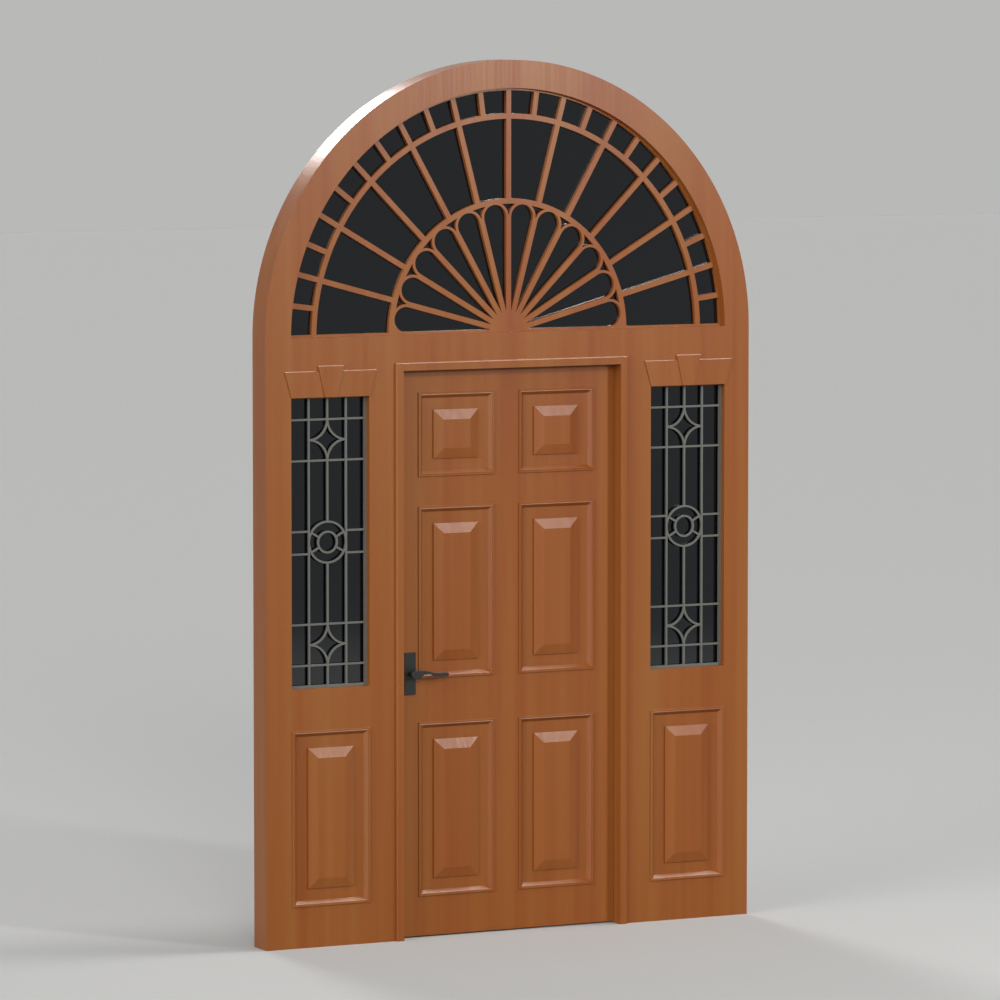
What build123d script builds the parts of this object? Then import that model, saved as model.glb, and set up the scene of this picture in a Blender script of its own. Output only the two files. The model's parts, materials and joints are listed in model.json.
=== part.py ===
from build123d import *
import math
import os

# Arched timber entrance door: frame, sidelights, fanlight, panelled leaf and lever handle.
# Millimetres. X runs left to right across the front, Y runs from the front into the house, Z is up.
# The pieces are drawn about the middle of the doorway, with the front face at Y = 0 and the floor at
# Z = 0, and moved last so that the foot of the hinge-side outer jamb is the origin.

# Frame
overall_width = 2000.0
transom_height = 130.0
frame_depth = 110.0
jamb_face = 103.0
mullion_face = 133.0
sidelight_rail_height = 153.0
sidelight_head_drop = 87.0

# Doorway and leaf
clear_width = 900.0
clear_height = 2100.0
leaf_setback = 43.0
leaf_lap = 12.0
side_gap = 8.5
moving_gap = 5.0
floor_gap = 6.0
stile_width = 98.0
muntin_width = 102.0
bottom_rail_top = 152.0
lock_rail_bottom = 798.0
lock_rail_height = 162.0
frieze_rail_height = 109.0
top_panel_height = 310.0
top_rail_height = 97.0

# Casing round the doorway
casing_width = 29.0
casing_proud = 14.0
casing_bevel = 3.0

# Panels, the same pattern in the leaf and below the sidelights
panel_sunk = 9.0
field_margin = 65.0
field_bevel = 37.0
field_edge_sunk = 2.0
field_proud = 7.0
moulding_width = 22.0
# Section of the planted moulding, with an outer ridge, a groove and a bead above its slope:
# (inset from the outer edge, height above the face)
moulding_section = ((0.0, 5.0), (2.0, 6.0), (5.0, 6.0), (6.5, 3.8), (9.5, 4.6))

# Relief lintels over the sidelights
lintel_height = 96.0
lintel_flare = 28.0
lintel_proud = 5.0
lintel_bevel = 2.5
key_height = 115.0
key_top_width = 104.0
key_bottom_width = 50.0
key_proud = 9.0

# Fanlight
spoke_pitch = 15.0
bar_width = 20.0
rim_width = 9.0
outer_band = 93.0
sunburst_share = 0.5485
fan_bar_front = 24.0
fan_bar_thickness = 17.0
glass_thickness = 6.0
bead_thickness = 14.0
bead_width = 14.0

# Sidelight grilles
grille_front = 25.0
grille_thickness = 8.0
grille_bar = 7.5
grille_border = 10.0
grille_standoff = 8.0
standoff_bead_width = 6.0
grille_bay = 75.0
circle_band_half = 41.0
star_band_end = 82.0
circle_inner_radius = 38.0

# Hinges
hinge_bottom_inset = 260.0
hinge_top_inset = 252.0
hinge_length = 120.0
knuckle_radius = 6.5
hinge_axis_behind = 7.0
hinge_plate_width = 32.0
hinge_plate_thickness = 3.0
hinge_pin_radius = 3.0
running_clearance = 0.05
knuckle_gap = 0.5

# Lever handle
handle_above_rail = 22.0
backset = 48.5
plate_width = 45.0
plate_height = 155.0
plate_thickness = 10.0
neck_radius = 9.0
neck_length = 36.0
boss_radius = 16.5
lever_thickness = 14.0
lever_reach = 127.0
# Upper and lower edge of the lever's arm: (share of the reach, share of the boss radius)
lever_upper_edge = ((0.0, 1.0), (0.4, 0.7), (0.62, 0.27), (1.0, 0.2))
lever_lower_edge = ((0.0, -1.0), (0.2, -0.34), (0.38, 0.02), (0.62, -0.5), (1.0, -0.68))
spindle_side = 8.0
spindle_bore_radius = 11.0

# Places worked out from the sizes above
half_width = overall_width / 2
half_clear = clear_width / 2
spring_height = clear_height + transom_height
arch_inner_radius = half_width - jamb_face
outer_ring_radius = arch_inner_radius - outer_band
inner_ring_radius = arch_inner_radius * sunburst_share
sidelight_outer = half_width - jamb_face
sidelight_inner = half_clear + mullion_face
sidelight_width = sidelight_outer - sidelight_inner
sidelight_sill = lock_rail_bottom + sidelight_rail_height
sidelight_head = clear_height - sidelight_head_drop
leaf_half = half_clear + leaf_lap
leaf_top = clear_height + leaf_lap
leaf_back = frame_depth
leaf_thickness = leaf_back - leaf_setback
panel_width = leaf_half - stile_width - muntin_width / 2
lock_rail_top = lock_rail_bottom + lock_rail_height
top_panel_zone = (leaf_top - top_rail_height - top_panel_height, leaf_top - top_rail_height)
middle_panel_zone = (lock_rail_top, top_panel_zone[0] - frieze_rail_height)
bottom_panel_zone = (bottom_rail_top, lock_rail_bottom)
rebate_half = leaf_half + side_gap
rebate_top = leaf_top + moving_gap
rebate_front = leaf_setback - moving_gap
hinge_x = leaf_half + side_gap / 2
hinge_y = frame_depth + hinge_axis_behind
hinge_lowest = hinge_bottom_inset
hinge_highest = leaf_top - hinge_top_inset
hinge_heights = (hinge_lowest, (hinge_lowest + hinge_highest) / 2, hinge_highest)
handle_height = lock_rail_top + handle_above_rail
handle_x = backset - half_clear
post_x = half_width - jamb_face / 2


def slab(sketch, front, back):
    """Extrude a front-view sketch (X, Z) between two depths."""
    return extrude(Plane.XZ.offset(-back) * sketch, back - front)


def block(left, right, front, back, bottom, top):
    """A straight timber between six planes."""
    middle = ((left + right) / 2, (front + back) / 2, (bottom + top) / 2)
    return Pos(*middle) * Box(right - left, back - front, top - bottom)


def rectangle(left, right, bottom, top):
    """A front-view rectangle."""
    return Pos((left + right) / 2, (bottom + top) / 2) * Rectangle(right - left, top - bottom)


def ring_sector(inner, outer, start, end):
    """A front-view piece of a flat ring between two angles in degrees."""
    outer_arc = CenterArc((0, 0), outer, start, end - start)
    inner_arc = CenterArc((0, 0), inner, start, end - start)
    sides = [Line(outer_arc @ 0, inner_arc @ 0), Line(outer_arc @ 1, inner_arc @ 1)]
    return make_face([outer_arc, inner_arc] + sides)


def radial_bar(inner, outer, angle, width):
    """A front-view bar that points away from the centre."""
    middle = (inner + outer) / 2
    return Rot(0, 0, angle) * Pos(middle, 0) * Rectangle(outer - inner, width)


def mirrored(solid):
    """The same piece on the other side of the doorway."""
    return mirror(solid, about=Plane.YZ)


def turned_inside(solid):
    """The same piece on the inside face of the leaf."""
    middle = leaf_setback + leaf_thickness / 2
    return mirror(solid, about=Plane.XZ.offset(-middle))


def frustum(middle_x, middle_z, base, base_y, top, top_y):
    """A raise from a base rectangle to a smaller top rectangle, its bevels run along both directions."""
    half = [(wide / 2, narrow / 2) for wide, narrow in zip(base, top)]
    (wide, narrow), (tall, short) = half
    across = Polyline((-wide, base_y), (wide, base_y), (narrow, top_y), (-narrow, top_y), close=True)
    along = Polyline((base_y, -tall), (base_y, tall), (top_y, short), (top_y, -short), close=True)
    upright = extrude(make_face(across), tall, both=True)
    level = extrude(Plane.YZ * make_face(along), wide, both=True)
    return Pos(middle_x, 0, middle_z) * (upright & level)


def raised_face(middle_x, width, zone, face, out):
    """The raised and fielded face of a panel; out is -1 for a face to the front, +1 to the back."""
    middle_z = (zone[0] + zone[1]) / 2
    field = (width - 2 * field_margin, zone[1] - zone[0] - 2 * field_margin)
    flat = (field[0] - 2 * field_bevel, field[1] - 2 * field_bevel)
    ground = face - out * panel_sunk
    edge = face - out * field_edge_sunk
    step = slab(Pos(middle_x, middle_z) * Rectangle(*field), min(ground, edge), max(ground, edge))
    return step + frustum(middle_x, middle_z, field, edge, flat, face + out * field_proud)


def panel(middle_x, width, zone, front_face, back_face):
    """A panel board with a raised field on both faces, seated edge to edge in its opening."""
    half = width / 2
    board = block(middle_x - half, middle_x + half, front_face + panel_sunk, back_face - panel_sunk, *zone)
    board += raised_face(middle_x, width, zone, front_face, -1)
    return board + raised_face(middle_x, width, zone, back_face, 1)


def moulding_stick(length, face):
    """One upright length of planted moulding, mitred at both ends, with its outer edge at X = 0."""
    ground = face + panel_sunk
    shaped = [(inset, face - height) for inset, height in moulding_section]
    section = Polyline((0, ground), *shaped, (moulding_width, ground), close=True)
    strip = extrude(make_face(section), length / 2, both=True)
    outer = length / 2
    inner = outer - moulding_width
    mitres = Polyline((0, -outer), (0, outer), (moulding_width, inner), (moulding_width, -inner), close=True)
    return strip & slab(make_face(mitres), face - moulding_width, ground)


def panel_moulding(middle_x, width, zone, face):
    """The planted moulding round a panel: four mitred lengths."""
    height = zone[1] - zone[0]
    upright = Pos(-width / 2, 0, 0) * moulding_stick(height, face)
    level = Rot(0, 90, 0) * Pos(-height / 2, 0, 0) * moulding_stick(width, face)
    ring = upright + mirror(upright, about=Plane.YZ) + level + mirror(level, about=Plane.XY)
    return Pos(middle_x, 0, (zone[0] + zone[1]) / 2) * ring


# Frame timbers
def outer_jamb():
    return block(sidelight_outer, half_width, 0, frame_depth, 0, spring_height)


def mullion():
    return block(rebate_half, sidelight_inner, 0, frame_depth, 0, rebate_top)


def transom():
    return block(-sidelight_outer, sidelight_outer, 0, frame_depth, rebate_top, spring_height)


def door_stop_side():
    """The planted stop on the right that the closed leaf laps behind."""
    return block(half_clear, rebate_half, 0, rebate_front, 0, rebate_top)


def door_stop_head():
    return block(-half_clear, half_clear, 0, rebate_front, clear_height, rebate_top)


def sidelight_rail(bottom, top):
    return block(sidelight_inner, sidelight_outer, 0, frame_depth, bottom, top)


def arch_piece(start, end):
    return Pos(0, 0, spring_height) * slab(
        ring_sector(arch_inner_radius, half_width, start, end), 0, frame_depth)


def casing_side():
    """The upright casing on the right, mitred at its top."""
    outer = half_clear + casing_width
    outline = Polyline((half_clear, 0), (outer, 0), (outer, clear_height + casing_width),
                       (half_clear, clear_height), close=True)
    strip = slab(make_face(outline), -casing_proud, 0)
    return bevel_front(strip.edges().filter_by(Axis.Z).group_by(Axis.X)[-1], casing_bevel)


def casing_head():
    outer = half_clear + casing_width
    top = clear_height + casing_width
    outline = Polyline((-half_clear, clear_height), (half_clear, clear_height), (outer, top),
                       (-outer, top), close=True)
    strip = slab(make_face(outline), -casing_proud, 0)
    return bevel_front(strip.edges().filter_by(Axis.X).group_by(Axis.Z)[-1], casing_bevel)


def bevel_front(edges, size):
    """Bevel the front one of some edges."""
    return chamfer(edges.sort_by(Axis.Y)[0], size)


def bevel_top(relief):
    """Ease the top front edge of a relief piece."""
    return bevel_front(relief.edges().filter_by(Axis.X).group_by(Axis.Z)[-1], lintel_bevel)


# Relief lintel of the right sidelight
def lintel_middle():
    return (sidelight_inner + sidelight_outer) / 2


def key_half_at(height):
    return (key_bottom_width + (key_top_width - key_bottom_width) * height / key_height) / 2


def lintel_wing():
    """The outer wing, from the keystone to the slanted end."""
    middle = lintel_middle()
    half = sidelight_width / 2
    outline = Polyline((middle + key_half_at(0), sidelight_head),
                       (middle + half, sidelight_head),
                       (middle + half + lintel_flare, sidelight_head + lintel_height),
                       (middle + key_half_at(lintel_height), sidelight_head + lintel_height), close=True)
    return bevel_top(slab(make_face(outline), -lintel_proud, 0))


def keystone():
    middle = lintel_middle()
    outline = Polyline((middle - key_half_at(0), sidelight_head),
                       (middle + key_half_at(0), sidelight_head),
                       (middle + key_half_at(key_height), sidelight_head + key_height),
                       (middle - key_half_at(key_height), sidelight_head + key_height), close=True)
    return bevel_top(slab(make_face(outline), -key_proud, 0))


# Fanlight
def petal_opening(angle, centre_radius, end_radius):
    """A sunburst opening: straight sides between two spokes and a round outer end."""
    apex = bar_width / 2 / math.sin(math.radians(spoke_pitch / 2))
    lean = math.radians(spoke_pitch / 2)
    side_x = centre_radius - end_radius * math.sin(lean)
    side_y = end_radius * math.cos(lean)
    wedge = make_face(Polyline((apex, 0), (side_x, side_y), (side_x, -side_y), close=True))
    return Rot(0, 0, angle) * (wedge + Pos(centre_radius, 0) * Circle(end_radius))


def spandrel(angle, centre_radius, loop_radius, ring_inside):
    """The small gap between two petal loops and the inner ring, from where the loops have parted."""
    half = spoke_pitch / 2
    start = centre_radius * math.cos(math.radians(half)) + bar_width / 2
    gap = ring_sector(start, ring_inside, -half, half)
    for side in (-half, half):
        gap = gap - Rot(0, 0, side) * Pos(centre_radius, 0) * Circle(loop_radius)
    return Rot(0, 0, angle) * gap


def sunburst():
    """Half disc inside the inner ring with petal openings and spandrels cut out."""
    ring_inside = inner_ring_radius - bar_width
    lean = math.sin(math.radians(spoke_pitch / 2))
    centre_radius = (ring_inside + bar_width / 2) / (1 + lean)
    end_radius = ring_inside - centre_radius
    loop_radius = end_radius + bar_width / 2
    disc = ring_sector(bar_width / 2, inner_ring_radius, 0, 180)
    disc += rectangle(-bar_width, bar_width, 0, bar_width)
    petals = round(180 / spoke_pitch)
    openings = [petal_opening((k + 0.5) * spoke_pitch, centre_radius, end_radius) for k in range(petals)]
    openings += [spandrel(k * spoke_pitch, centre_radius, loop_radius, ring_inside) for k in range(1, petals)]
    return disc - openings


def fan_lattice():
    """The whole fanlight lattice in the front view, about the middle of its base."""
    spokes = round(180 / spoke_pitch)
    rim_inside = arch_inner_radius - rim_width
    lattice = sunburst()
    lattice += ring_sector(outer_ring_radius - bar_width, outer_ring_radius, 0, 180)
    lattice += ring_sector(rim_inside, arch_inner_radius, 0, 180)
    overlap = bar_width / 4
    for k in range(1, spokes):
        lattice += radial_bar(inner_ring_radius - overlap, rim_inside + overlap, k * spoke_pitch, bar_width)
    for k in range(spokes):
        angle = (k + 0.5) * spoke_pitch
        lattice += radial_bar(outer_ring_radius - overlap, rim_inside + overlap, angle, bar_width)
    lattice += rectangle(-arch_inner_radius + rim_width / 2, arch_inner_radius - rim_width / 2, 0, rim_width)
    return lattice


def fanlight_pieces():
    glass_front = fan_bar_front + fan_bar_thickness
    glass_back = glass_front + glass_thickness
    half_disc = make_face([CenterArc((0, 0), arch_inner_radius, 0, 180),
                           Line((-arch_inner_radius, 0), (arch_inner_radius, 0))])
    bead = ring_sector(arch_inner_radius - bead_width, arch_inner_radius, 0, 180)
    bead += rectangle(bead_width / 2 - arch_inner_radius, arch_inner_radius - bead_width / 2, 0, bead_width)
    up = Pos(0, 0, spring_height)
    return {
        "fanlight_grille": up * slab(fan_lattice(), fan_bar_front, glass_front),
        "fanlight_glass": up * slab(half_disc, glass_front, glass_back),
        "fanlight_bead": up * slab(bead, glass_back, glass_back + bead_thickness),
    }


# Sidelight grille of the right sidelight
def border(width):
    """A rectangular border inside the sidelight opening."""
    outside = rectangle(sidelight_inner, sidelight_outer, sidelight_sill, sidelight_head)
    return outside - rectangle(sidelight_inner + width, sidelight_outer - width,
                               sidelight_sill + width, sidelight_head - width)


def open_border():
    """The grille's border along the sides and the sill; its uprights end at the head."""
    return border(grille_border) - rectangle(
        sidelight_inner + grille_border, sidelight_outer - grille_border,
        sidelight_head - grille_border, sidelight_head)


def star():
    """Four arcs that bow in towards the middle of a square bay."""
    shape = Sketch()
    for corner_x, corner_z, start in ((1, 1, 180), (-1, 1, 270), (-1, -1, 0), (1, -1, 90)):
        arc = ring_sector(grille_bay - grille_bar / 2, grille_bay + grille_bar / 2, start, start + 90)
        shape += Pos(corner_x * grille_bay, corner_z * grille_bay) * arc
    return shape


def double_circle():
    """Two rings joined by four short ties."""
    shape = Sketch()
    for radius in (grille_bay, circle_inner_radius):
        shape += Circle(radius + grille_bar / 2) - Circle(radius - grille_bar / 2)
    lean = math.degrees(math.atan2(circle_band_half, grille_bay))
    for angle in (lean, 180 - lean, 180 + lean, -lean):
        shape += radial_bar(circle_inner_radius, grille_bay, angle, grille_bar)
    return shape


def grille_pattern():
    middle_x = lintel_middle()
    middle_z = (sidelight_sill + sidelight_head) / 2
    half_bar = grille_bar / 2
    star_band_outer = (sidelight_head - sidelight_sill) / 2 - star_band_end
    star_band_inner = star_band_outer - 2 * grille_bay
    pattern = open_border()
    for side in (-1, 1):
        x = middle_x + side * grille_bay
        pattern += rectangle(x - half_bar, x + half_bar, sidelight_sill, sidelight_head)
        for z in (middle_z + side * star_band_inner, middle_z + side * star_band_outer):
            pattern += rectangle(sidelight_inner, sidelight_outer, z - half_bar, z + half_bar)
        pattern += Pos(middle_x, middle_z + side * (star_band_inner + grille_bay)) * star()
        low, high = sorted((middle_z + side * grille_bay, middle_z + side * star_band_inner))
        pattern += rectangle(middle_x - half_bar, middle_x + half_bar, low, high)
        end = sidelight_head if side > 0 else sidelight_sill
        low, high = sorted((middle_z + side * star_band_outer, end))
        pattern += rectangle(middle_x - half_bar, middle_x + half_bar, low, high)
        z = middle_z + side * circle_band_half
        pattern += rectangle(sidelight_inner, middle_x - grille_bay, z - half_bar, z + half_bar)
        pattern += rectangle(middle_x + grille_bay, sidelight_outer, z - half_bar, z + half_bar)
    return pattern + Pos(middle_x, middle_z) * double_circle()


def sidelight_pieces():
    """Grille, glass and beads of the right sidelight, from the front to the back."""
    standoff_front = grille_front + grille_thickness
    glass_front = standoff_front + grille_standoff
    glass_back = glass_front + glass_thickness
    opening = rectangle(sidelight_inner, sidelight_outer, sidelight_sill, sidelight_head)
    return {
        "sidelight_grille": slab(grille_pattern(), grille_front, standoff_front),
        "sidelight_glass": slab(opening, glass_front, glass_back),
        "sidelight_beads": [slab(border(standoff_bead_width), standoff_front, glass_front),
                            slab(border(bead_width), glass_back, glass_back + bead_thickness)],
    }


# Leaf
def panel_columns():
    offset = muntin_width / 2 + panel_width / 2
    return (-offset, offset)


def leaf_zones():
    return (top_panel_zone, middle_panel_zone, bottom_panel_zone)


def leaf_timber(left, right, bottom, top):
    return block(left, right, leaf_setback, leaf_back, bottom, top)


def leaf_pieces():
    inner = muntin_width / 2 + panel_width
    lock_stile = leaf_timber(-leaf_half, -inner, floor_gap, leaf_top)
    bore = Pos(handle_x, leaf_setback + leaf_thickness / 2, handle_height) * Rot(90, 0, 0) * Cylinder(
        spindle_bore_radius, leaf_thickness)
    columns = panel_columns()
    cells = [(x, zone) for zone in leaf_zones() for x in columns]
    front_mouldings = [panel_moulding(x, panel_width, zone, leaf_setback) for x, zone in cells]
    half_muntin = muntin_width / 2
    return {
        "leaf_lock_stile": lock_stile - bore,
        "leaf_hinge_stile": leaf_timber(inner, leaf_half, floor_gap, leaf_top),
        "leaf_top_rail": leaf_timber(-inner, inner, top_panel_zone[1], leaf_top),
        "leaf_frieze_rail": leaf_timber(-inner, inner, middle_panel_zone[1], top_panel_zone[0]),
        "leaf_lock_rail": leaf_timber(-inner, inner, bottom_panel_zone[1], middle_panel_zone[0]),
        "leaf_bottom_rail": leaf_timber(-inner, inner, floor_gap, bottom_panel_zone[0]),
        "leaf_muntins": [leaf_timber(-half_muntin, half_muntin, *zone) for zone in leaf_zones()],
        "leaf_panels": [panel(x, panel_width, zone, leaf_setback, leaf_back) for x, zone in cells],
        "leaf_mouldings": front_mouldings + [turned_inside(piece) for piece in front_mouldings],
    }


# Hinges
def knuckle(bottom, top):
    return Pos(hinge_x, hinge_y, (bottom + top) / 2) * Cylinder(knuckle_radius, top - bottom)


def pin(radius, bottom, top):
    return Pos(hinge_x, hinge_y, (bottom + top) / 2) * Cylinder(radius, top - bottom)


def hinge_plate(side, bottom, top, tab_bottom, tab_top):
    """A flat plate on the inside face, with a tab that reaches the knuckle."""
    near = hinge_x + side * (knuckle_radius + knuckle_gap * 2)
    far = hinge_x + side * hinge_plate_width
    back = frame_depth + hinge_plate_thickness
    plate = block(min(near, far), max(near, far), frame_depth, back, bottom, top)
    tab = block(min(hinge_x, near), max(hinge_x, near), frame_depth, back, tab_bottom, tab_top)
    return plate + tab


def hinge_halves(height):
    """The lower half with the pin, for the frame, and the upper half, for the leaf."""
    bottom = height - hinge_length / 2
    top = height + hinge_length / 2
    lower_top = height - knuckle_gap / 2
    upper_bottom = height + knuckle_gap / 2
    bore = pin(hinge_pin_radius + running_clearance, bottom, top)
    frame_half = hinge_plate(1, bottom, top, bottom, lower_top) + knuckle(bottom, lower_top)
    frame_half += pin(hinge_pin_radius, bottom, top)
    leaf_half_piece = hinge_plate(-1, bottom, top, upper_bottom, top) + knuckle(upper_bottom, top)
    return frame_half, leaf_half_piece - bore


# Lever handle
def backplate():
    """The outside backplate, with the bore that the lever neck turns in."""
    front = leaf_setback - plate_thickness
    middle = (handle_x, (front + leaf_setback) / 2, handle_height)
    plate = Pos(*middle) * Box(plate_width, plate_thickness, plate_height)
    bore = Pos(*middle) * Rot(90, 0, 0) * Cylinder(neck_radius + running_clearance, plate_thickness)
    return plate - bore


def lever_outline():
    """The side view of the lever, about its pivot: a round boss and a wavy arm with a round tip."""
    upper, lower = (
        Spline([(along * lever_reach, up * boss_radius) for along, up in edge], tangents=((1, 0), (1, 0)))
        for edge in (lever_upper_edge, lever_lower_edge))
    end_top = upper @ 1
    end_low = lower @ 1
    tip_radius = (end_top.Y - end_low.Y) / 2
    tip = ThreePointArc(end_top, (end_top.X + tip_radius, end_top.Y - tip_radius), end_low)
    arm = make_face([upper, lower, Line(upper @ 0, lower @ 0), tip])
    return arm + Circle(boss_radius)


def outside_lever():
    neck_end = leaf_setback - plate_thickness - neck_length
    neck = Pos(handle_x, (neck_end + leaf_setback) / 2, handle_height) * Rot(90, 0, 0) * Cylinder(
        neck_radius, leaf_setback - neck_end)
    place = Pos(handle_x, 0, handle_height)
    return neck + place * slab(lever_outline(), neck_end - lever_thickness, neck_end)


def spindle():
    """The square bar through the leaf that joins the two levers."""
    middle = leaf_setback + leaf_thickness / 2
    return Pos(handle_x, middle, handle_height) * Box(spindle_side, leaf_thickness, spindle_side)


def all_nodes():
    """Every node by name, as a list of solids in door coordinates."""
    nodes = {}
    nodes["outer_jamb_right"] = outer_jamb()
    nodes["mullion_right"] = mullion()
    nodes["door_stop_right"] = door_stop_side()
    nodes["sidelight_top_rail_right"] = sidelight_rail(sidelight_head, rebate_top)
    nodes["sidelight_mid_rail_right"] = sidelight_rail(bottom_panel_zone[1], sidelight_sill)
    nodes["sidelight_bottom_rail_right"] = sidelight_rail(0, bottom_panel_zone[0])
    nodes["side_panel_right"] = panel(
        lintel_middle(), sidelight_width, bottom_panel_zone, 0, leaf_thickness)
    nodes["casing_right"] = casing_side()
    pieces = sidelight_pieces()
    nodes["sidelight_glass_right"] = pieces["sidelight_glass"]
    for name in list(nodes):
        nodes[name.replace("_right", "_left")] = mirrored(nodes[name])

    nodes["transom"] = transom()
    nodes["door_stop_head"] = door_stop_head()
    nodes["casing_head"] = casing_head()
    arch_names = ("arch_right_lower", "arch_right_upper", "arch_crown", "arch_left_upper", "arch_left_lower")
    sweep = 180 / len(arch_names)
    for k, name in enumerate(arch_names):
        nodes[name] = arch_piece(k * sweep, (k + 1) * sweep)
    nodes.update(fanlight_pieces())

    inner_wing = mirror(lintel_wing(), about=Plane.YZ.offset(lintel_middle()))
    both_wings = [lintel_wing(), inner_wing]
    nodes["lintel_wings"] = both_wings + [mirrored(piece) for piece in both_wings]
    nodes["keystones"] = [keystone(), mirrored(keystone())]
    side_moulding = panel_moulding(lintel_middle(), sidelight_width, bottom_panel_zone, 0)
    nodes["side_mouldings"] = [side_moulding, mirrored(side_moulding)]
    nodes["sidelight_grilles"] = [pieces["sidelight_grille"], mirrored(pieces["sidelight_grille"])]
    beads = pieces["sidelight_beads"]
    nodes["sidelight_beads"] = beads + [mirrored(piece) for piece in beads]

    nodes.update(leaf_pieces())
    halves = [hinge_halves(height) for height in hinge_heights]
    nodes["hinge_frame_halves"] = [pair[0] for pair in halves]
    nodes["hinge_leaf_halves"] = [pair[1] for pair in halves]
    nodes["handle_backplates"] = [backplate(), turned_inside(backplate())]
    nodes["levers"] = [outside_lever(), turned_inside(outside_lever())]
    nodes["lever_spindle"] = spindle()
    return nodes


def export_all():
    os.makedirs("parts", exist_ok=True)
    to_origin = Pos(-post_x, -frame_depth / 2, 0)
    for name, shape in all_nodes().items():
        pieces = shape if isinstance(shape, list) else [shape]
        solids = [solid for piece in pieces for solid in (to_origin * piece).solids()]
        export_step(Compound(children=solids) if len(solids) > 1 else solids[0], f"parts/{name}.step")


export_all()
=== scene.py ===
import json
import math

import bmesh
import bpy
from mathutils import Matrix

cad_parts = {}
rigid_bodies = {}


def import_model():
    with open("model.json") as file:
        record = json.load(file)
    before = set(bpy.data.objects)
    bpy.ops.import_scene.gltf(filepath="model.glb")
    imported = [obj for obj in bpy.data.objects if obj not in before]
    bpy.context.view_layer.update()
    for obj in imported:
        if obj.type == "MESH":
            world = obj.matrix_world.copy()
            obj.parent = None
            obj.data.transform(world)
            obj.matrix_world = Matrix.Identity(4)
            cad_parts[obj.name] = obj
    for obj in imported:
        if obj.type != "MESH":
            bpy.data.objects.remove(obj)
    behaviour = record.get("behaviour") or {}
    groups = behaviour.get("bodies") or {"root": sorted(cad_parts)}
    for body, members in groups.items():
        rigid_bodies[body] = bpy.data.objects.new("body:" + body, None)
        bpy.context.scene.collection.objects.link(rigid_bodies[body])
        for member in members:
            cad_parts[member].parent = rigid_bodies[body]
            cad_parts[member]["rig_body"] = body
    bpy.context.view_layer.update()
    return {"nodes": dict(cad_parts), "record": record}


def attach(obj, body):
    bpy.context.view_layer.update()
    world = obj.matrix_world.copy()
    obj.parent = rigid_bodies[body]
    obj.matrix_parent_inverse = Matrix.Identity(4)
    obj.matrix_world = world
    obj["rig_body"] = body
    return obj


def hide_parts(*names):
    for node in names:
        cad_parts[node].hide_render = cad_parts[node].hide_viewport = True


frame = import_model()

# Lengths are in metres in the part's own frame, and colours are linear

# Camera, fitted to points of the photo: angles in degrees, lens and sensor in millimetres
CAMERA_PLACE = (-11.4105, -20.461, 3.526)
CAMERA_TILT = 85.223
CAMERA_TURN = -27.036
CAMERA_LENS = 224.5
SENSOR_WIDTH = 36.0
CAMERA_REACH = 200.0

# Stained timber: its colours, and where each lies on the streaks' scale of 0 to 1
WOOD_DARK = (0.236, 0.060, 0.0105, 1.0)
WOOD_MID = (0.262, 0.079, 0.0145, 1.0)
WOOD_LIGHT = (0.280, 0.100, 0.022, 1.0)
DARK_STOP = 0.32
MID_STOP = 0.5
LIGHT_STOP = 0.70
# Streaks to the metre across, through and up the timber, and their detail
BROAD_STREAKS = ((7.0, 7.0, 0.35), 1.0)
BAND_STREAKS = ((24.0, 24.0, 0.5), 2.0)
FINE_STREAKS = ((90.0, 90.0, 1.0), 2.0)
BAND_SHARE = 0.5
# Where the fine streaks rise from the first value to the second, the varnish's roughness does too
SHEEN_STREAKS = (0.35, 0.65)
SHEEN_ROUGHNESS = (0.29, 0.35)
WOOD_SPECULAR = 0.3

# Plain finishes: colour, roughness and specular level
# The glass is an opaque, near-black pane. Its dark colour is painted shade standing in for the unlit
# space seen through real glass; only its gloss comes from the lamps
GLASS_PAINTED_DARK = ((0.001, 0.002, 0.004, 1.0), 0.03, 0.48)
GRILLE_METAL = ((0.125, 0.126, 0.112, 1.0), 0.4, 0.3)
HANDLE_METAL = ((0.015, 0.016, 0.0145, 1.0), 0.36, 0.33)

# Floor and surroundings: what is seen, and what lights the object
FLOOR_COLOUR = (0.512, 0.512, 0.503, 1.0)
FLOOR_BOUNCE = (0.12, 0.12, 0.12, 1.0)
FLOOR_ROUGHNESS = 0.8
FLOOR_HALF = 60.0
BACKGROUND = (0.485, 0.485, 0.478, 1.0)
FILL_COLOUR = (1.0, 1.0, 1.0, 1.0)
FILL_LOW = 0.03
FILL_HIGH = 0.25

# Parallel lights: the direction that each comes from, its strength and its spread in degrees
FRONT_LIGHT = ((-0.30, -0.90, 0.32), 1.15, 20.0)
LEFT_LIGHT = ((-0.93, -0.31, 0.19), 2.3, 40.0)
TOP_LIGHT = ((0.45, -0.10, 0.887), 1.1, 15.0)
BACK_LIGHT = ((0.05, 0.89, 0.45), 1.4, 15.0)
# Soft cards that give the front its sheen: place, size and power in watts. They face the door's middle
UPPER_CARD = ((3.5, -8.9, 3.85), 0.5, 205.0)
BEVEL_CARD = ((3.6, -8.9, 6.2), 0.8, 210.0)
FRONT_CARD = ((-1.0, -9.5, 2.6), 1.5, 60.0)
DOOR_MIDDLE = (-0.95, 0.0, 1.6)

# Nodes whose sharp edges are eased: width, steps, and whether only the front edges are
EASED = {
    "levers": (0.005, 4, False),
    "handle_backplates": (0.0015, 2, False),
    "fanlight_grille": (0.002, 2, True),
}
# An edge is flat below the first angle, sharp above the second, and keeps its crease above the third
FLAT_ANGLE = math.radians(0.5)
SHARP_ANGLE = math.radians(25)
CREASE_ANGLE = math.radians(50)
ROUND_PROFILE = 0.5
# Points closer than the first are merged, and edges this near the front plane are front edges
SAME_POINT = 1e-5
FRONT_DEPTH = 1e-4


def new_object(name, data):
    """An object with this data, put in the scene."""
    thing = bpy.data.objects.new(name, data)
    bpy.context.scene.collection.objects.link(thing)
    return thing


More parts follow.
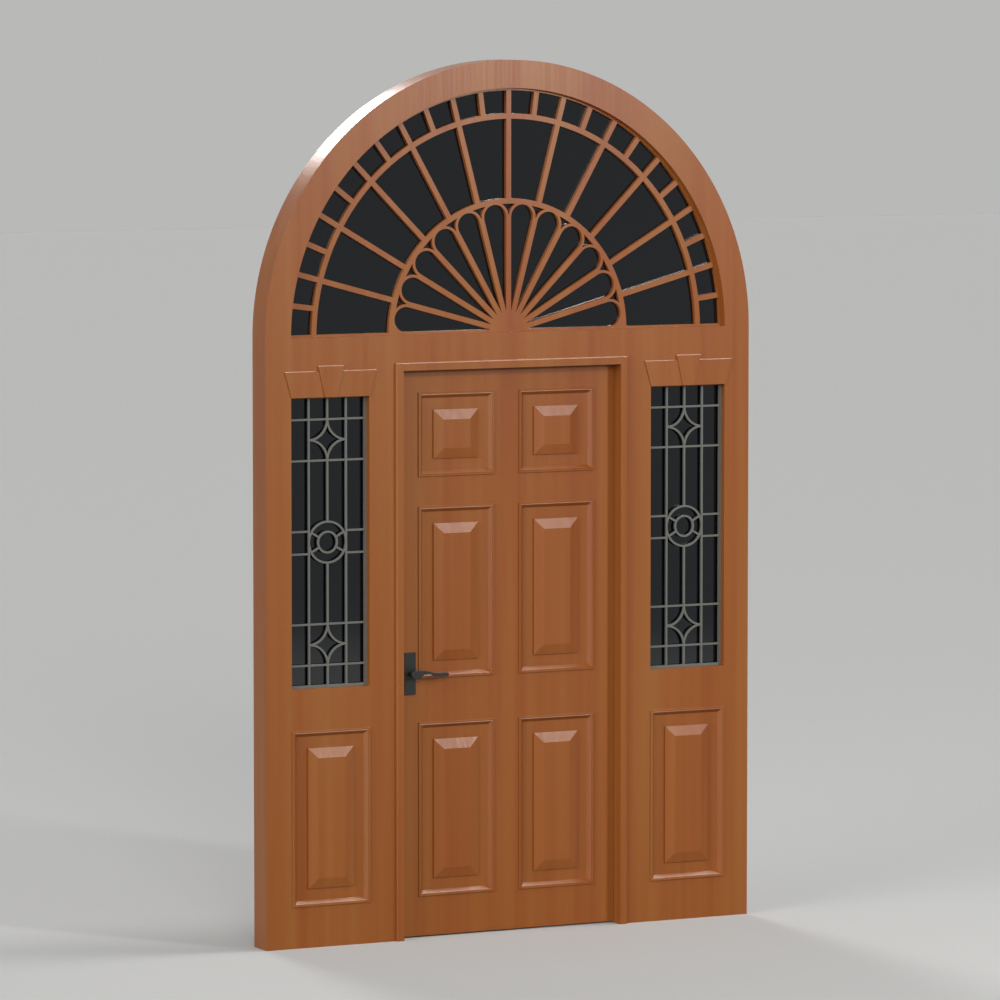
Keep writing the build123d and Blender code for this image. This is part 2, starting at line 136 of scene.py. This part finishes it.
def new_material(name):
    """A material with nothing but its surface shader and its output."""
    material = bpy.data.materials.new(name)
    material.use_nodes = True
    nodes, links = material.node_tree.nodes, material.node_tree.links
    nodes.clear()
    output = nodes.new("ShaderNodeOutputMaterial")
    shader = nodes.new("ShaderNodeBsdfPrincipled")
    links.new(shader.outputs["BSDF"], output.inputs["Surface"])
    return material, nodes, links, shader


def plain(name, colour, roughness, specular):
    """A finish that is the same all over."""
    material, _, _, shader = new_material(name)
    shader.inputs["Base Color"].default_value = colour
    shader.inputs["Roughness"].default_value = roughness
    shader.inputs["Specular IOR Level"].default_value = specular
    return material


def wood(name):
    """Stained timber with soft upright streaks, under varnish."""
    material, nodes, links, shader = new_material(name)
    place = nodes.new("ShaderNodeTexCoord")

    def streaks(pitch, detail):
        """Noise that is drawn out along the height."""
        stretch = nodes.new("ShaderNodeMapping")
        stretch.inputs["Scale"].default_value = pitch
        links.new(place.outputs["Object"], stretch.inputs["Vector"])
        noise = nodes.new("ShaderNodeTexNoise")
        noise.inputs["Scale"].default_value = 1.0
        noise.inputs["Detail"].default_value = detail
        links.new(stretch.outputs["Vector"], noise.inputs["Vector"])
        return noise.outputs["Fac"]

    mix = nodes.new("ShaderNodeMix")
    mix.inputs["Factor"].default_value = BAND_SHARE
    links.new(streaks(*BROAD_STREAKS), mix.inputs["A"])
    links.new(streaks(*BAND_STREAKS), mix.inputs["B"])
    ramp = nodes.new("ShaderNodeValToRGB")
    stops = ramp.color_ramp.elements
    stops[0].position = DARK_STOP
    stops[0].color = WOOD_DARK
    stops[1].position = LIGHT_STOP
    stops[1].color = WOOD_LIGHT
    middle = stops.new(MID_STOP)
    middle.color = WOOD_MID
    links.new(mix.outputs["Result"], ramp.inputs["Fac"])
    links.new(ramp.outputs["Color"], shader.inputs["Base Color"])

    sheen = nodes.new("ShaderNodeMapRange")
    sheen.inputs["From Min"].default_value = SHEEN_STREAKS[0]
    sheen.inputs["From Max"].default_value = SHEEN_STREAKS[1]
    sheen.inputs["To Min"].default_value = SHEEN_ROUGHNESS[0]
    sheen.inputs["To Max"].default_value = SHEEN_ROUGHNESS[1]
    links.new(streaks(*FINE_STREAKS), sheen.inputs["Value"])
    links.new(sheen.outputs["Result"], shader.inputs["Roughness"])
    shader.inputs["Specular IOR Level"].default_value = WOOD_SPECULAR
    return material


FINISHES = {
    "stained_wood": wood("stained_wood"),
    "glass": plain("glass_with_painted_dark", *GLASS_PAINTED_DARK),
    "lead_grey": plain("grey_grille_metal", *GRILLE_METAL),
    "dark_metal": plain("dark_handle_metal", *HANDLE_METAL),
}
slots = {part["node"]: part["material_slot"] for part in frame["record"]["subparts"]}
for name, piece in frame["nodes"].items():
    piece.data.materials.clear()
    piece.data.materials.append(FINISHES[slots[name]])


def eased(node, width, steps, front_only):
    """The node's own shape with its sharp edges eased, in place of the node."""
    cad = frame["nodes"][node]
    shape = bmesh.new()
    shape.from_mesh(cad.data)
    bmesh.ops.remove_doubles(shape, verts=shape.verts, dist=SAME_POINT)
    bmesh.ops.dissolve_limit(shape, angle_limit=FLAT_ANGLE, verts=shape.verts, edges=shape.edges)
    for face in shape.faces:
        turns = [e.calc_face_angle(0) for e in face.edges]
        face.smooth = any(FLAT_ANGLE < turn < SHARP_ANGLE for turn in turns)
    sharp = [e for e in shape.edges if len(e.link_faces) == 2 and e.calc_face_angle() > SHARP_ANGLE]
    if front_only:
        front = min(v.co.y for v in shape.verts) + FRONT_DEPTH
        sharp = [e for e in sharp if max(v.co.y for v in e.verts) < front]
    strips = bmesh.ops.bevel(shape, geom=sharp, offset=width, offset_type="OFFSET", segments=steps,
                             profile=ROUND_PROFILE, affect="EDGES", clamp_overlap=True)
    for face in strips["faces"]:
        face.smooth = True
    for edge in shape.edges:
        edge.smooth = edge.calc_face_angle(0) < CREASE_ANGLE
    mesh = bpy.data.meshes.new(node + "_eased")
    shape.to_mesh(mesh)
    shape.free()
    old_normals = mesh.attributes.get("custom_normal")
    if old_normals:
        mesh.attributes.remove(old_normals)
    mesh.materials.append(FINISHES[slots[node]])
    piece = new_object(node + "_eased", mesh)
    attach(piece, cad["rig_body"])
    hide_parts(node)


for node, (width, steps, front_only) in EASED.items():
    eased(node, width, steps, front_only)


def shine_from(holder, x, y, z):
    """Turns a lamp so that its light comes from this direction."""
    holder.rotation_euler = (math.atan2(math.hypot(x, y), z), 0, math.atan2(y, x) + math.pi / 2)


def sun(name, direction, strength, spread):
    """A parallel light."""
    lamp = bpy.data.lights.new(name, "SUN")
    lamp.energy = strength
    lamp.angle = math.radians(spread)
    shine_from(new_object(name, lamp), *direction)


def card(name, place, size, power):
    """A soft card that faces the door."""
    lamp = bpy.data.lights.new(name, "AREA")
    lamp.energy = power
    lamp.size = size
    holder = new_object(name, lamp)
    holder.location = place
    shine_from(holder, *(p - m for p, m in zip(place, DOOR_MIDDLE)))


sun("front_light", *FRONT_LIGHT)
sun("left_light", *LEFT_LIGHT)
sun("top_light", *TOP_LIGHT)
sun("back_light", *BACK_LIGHT)
card("upper_card", *UPPER_CARD)
card("bevel_card", *BEVEL_CARD)
card("front_card", *FRONT_CARD)


def seen_directly(nodes, links):
    """1 for what the camera, gloss and glass see, 0 for light that reaches a matt surface."""
    path = nodes.new("ShaderNodeLightPath")
    total = path.outputs["Is Camera Ray"]
    for ray in ("Is Glossy Ray", "Is Transmission Ray"):
        either = nodes.new("ShaderNodeMath")
        either.operation = "MAXIMUM"
        links.new(total, either.inputs[0])
        links.new(path.outputs[ray], either.inputs[1])
        total = either.outputs[0]
    return total


def studio_world():
    """Fill that grows towards the top, and a pale background for what the camera, gloss and glass see."""
    world = bpy.data.worlds.new("studio")
    world.use_nodes = True
    nodes, links = world.node_tree.nodes, world.node_tree.links
    fill = nodes["Background"]
    fill.inputs["Color"].default_value = FILL_COLOUR
    place = nodes.new("ShaderNodeTexCoord")
    parts = nodes.new("ShaderNodeSeparateXYZ")
    climb = nodes.new("ShaderNodeMapRange")
    climb.inputs["To Min"].default_value = FILL_LOW
    climb.inputs["To Max"].default_value = FILL_HIGH
    links.new(place.outputs["Generated"], parts.inputs["Vector"])
    links.new(parts.outputs["Z"], climb.inputs["Value"])
    links.new(climb.outputs["Result"], fill.inputs["Strength"])
    seen = nodes.new("ShaderNodeBackground")
    seen.inputs["Color"].default_value = BACKGROUND
    mix = nodes.new("ShaderNodeMixShader")
    links.new(seen_directly(nodes, links), mix.inputs["Fac"])
    links.new(fill.outputs["Background"], mix.inputs[1])
    links.new(seen.outputs["Background"], mix.inputs[2])
    links.new(mix.outputs["Shader"], nodes["World Output"].inputs["Surface"])
    return world


def floor_finish():
    """Pale to the eye, but throwing little light up at the object."""
    material, nodes, links, shader = new_material("pale_floor")
    tone = nodes.new("ShaderNodeMix")
    tone.data_type = "RGBA"
    bounce, seen = (socket for socket in tone.inputs if socket.type == "RGBA")
    bounce.default_value = FLOOR_BOUNCE
    seen.default_value = FLOOR_COLOUR
    links.new(seen_directly(nodes, links), tone.inputs["Factor"])
    result = next(socket for socket in tone.outputs if socket.type == "RGBA")
    links.new(result, shader.inputs["Base Color"])
    shader.inputs["Roughness"].default_value = FLOOR_ROUGHNESS
    shader.inputs["Specular IOR Level"].default_value = 0.0
    return material


bpy.context.scene.world = studio_world()

floor_mesh = bpy.data.meshes.new("floor")
floor_mesh.from_pydata(
    [(-FLOOR_HALF, -FLOOR_HALF, 0), (FLOOR_HALF, -FLOOR_HALF, 0),
     (FLOOR_HALF, FLOOR_HALF, 0), (-FLOOR_HALF, FLOOR_HALF, 0)], [], [(0, 1, 2, 3)])
floor_mesh.materials.append(floor_finish())
floor = new_object("floor", floor_mesh)

camera_data = bpy.data.cameras.new("photo_camera")
camera_data.lens = CAMERA_LENS
camera_data.sensor_width = SENSOR_WIDTH
camera_data.clip_end = CAMERA_REACH
camera = new_object("photo_camera", camera_data)
camera.location = CAMERA_PLACE
camera.rotation_euler = (math.radians(CAMERA_TILT), 0, math.radians(CAMERA_TURN))
bpy.context.scene.camera = camera
bpy.context.scene.view_settings.view_transform = "Standard"
